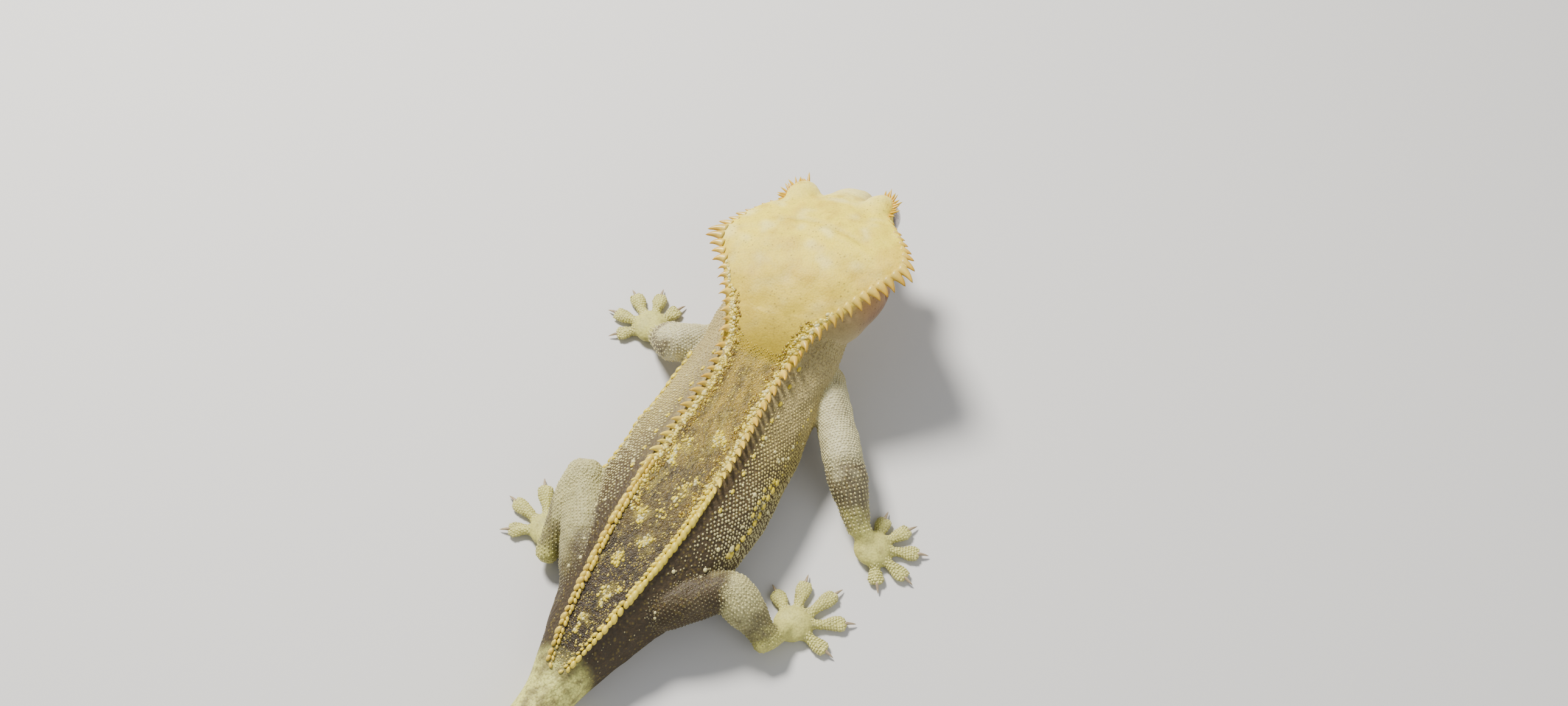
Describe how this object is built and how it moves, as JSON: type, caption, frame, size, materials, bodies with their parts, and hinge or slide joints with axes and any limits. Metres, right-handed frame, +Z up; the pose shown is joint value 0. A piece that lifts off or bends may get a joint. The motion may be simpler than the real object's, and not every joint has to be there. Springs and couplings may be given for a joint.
{
  "type": "crested gecko",
  "caption": "Life-size still crested gecko with a wide spiny crown, spined back rows, splayed padded toes and a long curved tail, resting on its belly and feet.",
  "frame": {"origin": "on the floor, under the middle of the animal's bounding box", "axes": "-Y towards the head, +Y towards the tail, +X to the animal's left, +Z up"},
  "size_m": [0.0798, 0.2104, 0.0273],
  "materials": {
    "skin": "dry granular skin, cream-yellow on the crown and the crest rows, olive to dark brown on the back and flanks with cream dots, satin",
    "eye": "wet gloss over a grey-mauve iris with a dark slit"
  },
  "bodies": {
    "root": {"head": "skin", "lower_jaw": "skin", "neck": "skin", "torso": "skin", "tail_base": "skin", "tail_middle": "skin", "tail_tip": "skin", "upper_arm_left": "skin", "upper_arm_right": "skin", "forearm_left": "skin", "forearm_right": "skin", "hand_left": "skin", "hand_right": "skin", "thigh_left": "skin", "thigh_right": "skin", "shin_left": "skin", "shin_right": "skin", "foot_left": "skin", "foot_right": "skin", "eye_left": "eye", "eye_right": "eye"}
  },
  "joints": []
}
